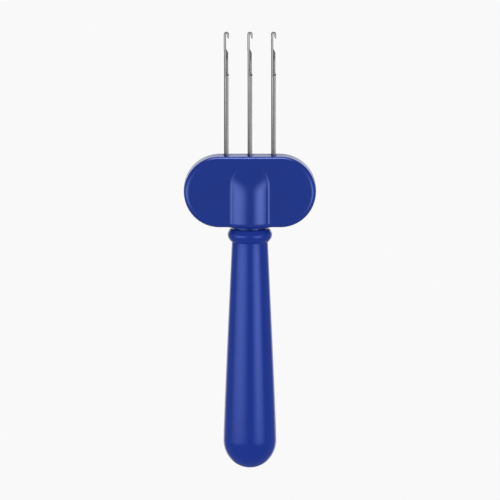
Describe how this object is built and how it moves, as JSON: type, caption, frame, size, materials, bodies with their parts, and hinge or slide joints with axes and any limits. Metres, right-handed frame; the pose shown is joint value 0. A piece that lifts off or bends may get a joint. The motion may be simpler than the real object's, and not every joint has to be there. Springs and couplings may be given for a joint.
{
  "type": "latch hook tool",
  "caption": "Latch hook tool: tapered round grip, round-ended head with a raised boss, and parallel hooked needles with hinged latches that shut on the hook tips.",
  "frame": {"origin": "lowest point of the grip's domed butt, on the tool's long axis", "axes": "+Z along the tool towards the hooks; the front of the head faces -Y; the hooks open towards +X"},
  "size_m": [0.0506, 0.0202, 0.1675],
  "materials": {
    "blue_plastic": "moulded, satin gloss",
    "dark_plastic": "moulded, matte",
    "needle_steel": "polished, nickel bright",
    "bright_steel": "ground",
    "zinc_steel": "zinc plated"
  },
  "bodies": {
    "tool": {"grip": "blue_plastic", "neck_ring": "blue_plastic", "tang": "bright_steel", "tang_pin": "zinc_steel", "head_front_shell": "blue_plastic", "head_back_shell": "blue_plastic", "shell_screws": "zinc_steel", "needle_bed": "dark_plastic", "clamp_plate": "zinc_steel", "clamp_screws": "zinc_steel", "needle_left": "needle_steel", "needle_middle": "needle_steel", "needle_right": "needle_steel", "rivet_left": "needle_steel", "rivet_middle": "needle_steel", "rivet_right": "needle_steel"},
    "latch_left": {"latch_left": "needle_steel"},
    "latch_middle": {"latch_middle": "needle_steel"},
    "latch_right": {"latch_right": "needle_steel"}
  },
  "joints": [
    {"name": "latch_left_hinge", "type": "hinge", "parent": "tool", "child": "latch_left", "pos_m": [-0.00885, 0, 0.15795], "axis": [0, -1, 0], "range_deg": [0, 165]},
    {"name": "latch_middle_hinge", "type": "hinge", "parent": "tool", "child": "latch_middle", "pos_m": [0.00015, 0, 0.15795], "axis": [0, -1, 0], "range_deg": [0, 165]},
    {"name": "latch_right_hinge", "type": "hinge", "parent": "tool", "child": "latch_right", "pos_m": [0.00915, 0, 0.15795], "axis": [0, -1, 0], "range_deg": [0, 165]}
  ]
}
